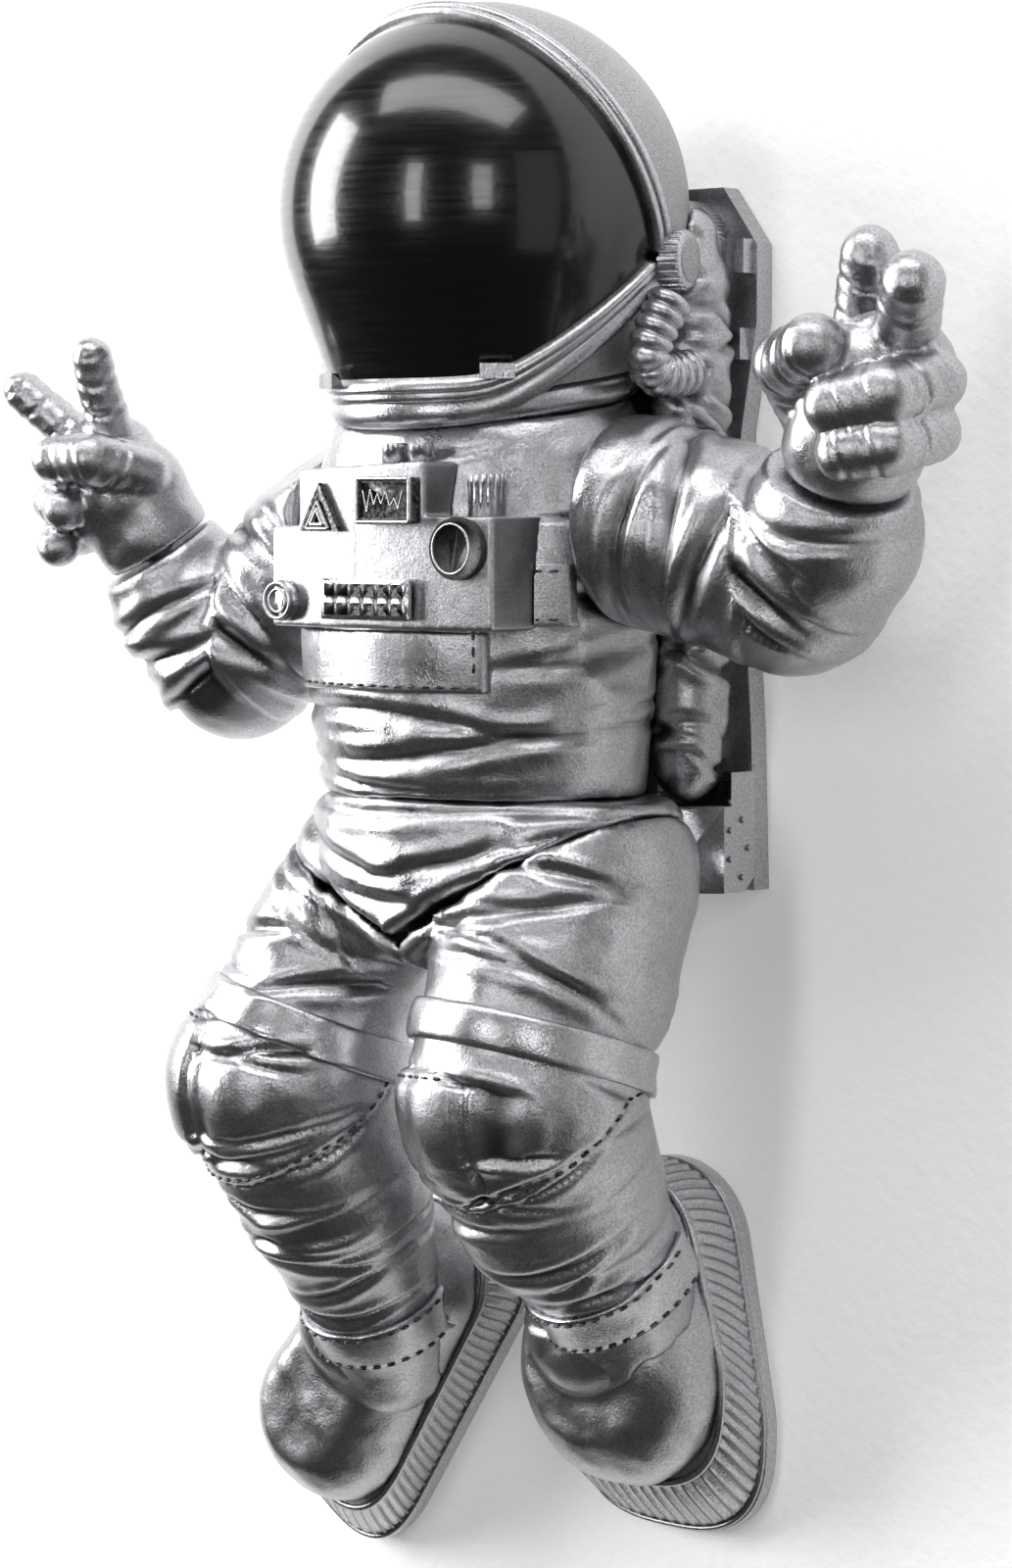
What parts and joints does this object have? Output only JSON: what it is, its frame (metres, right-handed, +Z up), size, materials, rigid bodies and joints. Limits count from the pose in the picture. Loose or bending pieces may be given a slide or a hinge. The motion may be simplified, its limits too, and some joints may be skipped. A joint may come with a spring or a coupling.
{
  "type": "wall figurine",
  "caption": "Wall-hung astronaut figure in a bulky suit, jumping and giving a V sign with both hands, with a flat backpack that hangs on two keyhole plates.",
  "frame": {"origin": "centre of the backpack's flat back face, on the wall", "axes": "+Y into the wall, +Z up, +X towards the figure's left, -Y is the way the figure faces"},
  "size_m": [0.2339, 0.0859, 0.3385],
  "materials": {
    "silver_resin": "silver leaf under gloss lacquer",
    "helmet_grey": "satin grey lacquer",
    "black_gloss": "black gloss lacquer",
    "dark_inlay": "silver with black wash",
    "zinc_steel": "zinc plated"
  },
  "bodies": {
    "trunk": {"back_plate": "silver_resin", "belly_flap": "silver_resin", "chest_belt": "silver_resin", "chest_box": "silver_resin", "display_screen": "dark_inlay", "helmet_shell": "helmet_grey", "hips": "silver_resin", "keyhole_plates": "zinc_steel", "keyhole_screws": "zinc_steel", "keypad": "dark_inlay", "left_ankle_strap": "silver_resin", "left_boot_rand": "silver_resin", "left_boot_sole": "silver_resin", "left_boot_upper": "silver_resin", "left_duct": "silver_resin", "left_ear_cap": "silver_resin", "left_hose": "silver_resin", "left_leg": "silver_resin", "left_thigh_band": "silver_resin", "neck_ring": "silver_resin", "neck_stud": "silver_resin", "pack_base": "silver_resin", "pack_clips": "silver_resin", "pack_housing": "silver_resin", "pack_rivets": "silver_resin", "push_button": "dark_inlay", "right_ankle_strap": "silver_resin", "right_boot_rand": "silver_resin", "right_boot_sole": "silver_resin", "right_boot_upper": "silver_resin", "right_duct": "silver_resin", "right_ear_cap": "silver_resin", "right_hose": "silver_resin", "right_leg": "silver_resin", "right_thigh_band": "silver_resin", "round_dial": "dark_inlay", "top_knobs": "silver_resin", "torso": "silver_resin", "valve_knob": "silver_resin", "visor": "black_gloss", "visor_frame": "silver_resin", "visor_latches": "silver_resin", "warning_triangle": "dark_inlay"},
    "left_arm": {"left_sleeve": "silver_resin", "left_shoulder_peg": "zinc_steel", "left_shoulder_washer": "zinc_steel"},
    "right_arm": {"right_sleeve": "silver_resin", "right_shoulder_peg": "zinc_steel", "right_shoulder_washer": "zinc_steel"},
    "left_hand": {"left_glove": "silver_resin", "left_wrist_peg": "zinc_steel"},
    "right_hand": {"right_glove": "silver_resin", "right_wrist_peg": "zinc_steel"}
  },
  "joints": [
    {"name": "left_shoulder", "type": "hinge", "parent": "trunk", "child": "left_arm", "pos_m": [0.038, -0.041, 0.004], "axis": [1, 0, 0], "range_deg": [-15, 20]},
    {"name": "right_shoulder", "type": "hinge", "parent": "trunk", "child": "right_arm", "pos_m": [-0.038, -0.041, 0.004], "axis": [1, 0, 0], "range_deg": [-15, 20]},
    {"name": "left_wrist", "type": "hinge", "parent": "left_arm", "child": "left_hand", "pos_m": [0.09, -0.04, 0.013], "axis": [0.4286, -0.2857, 0.8571], "range_deg": [-35, 35]},
    {"name": "right_wrist", "type": "hinge", "parent": "right_arm", "child": "right_hand", "pos_m": [-0.081, -0.06, -0.003], "axis": [-0.3041, -0.4562, 0.8363], "range_deg": [-35, 35]}
  ]
}
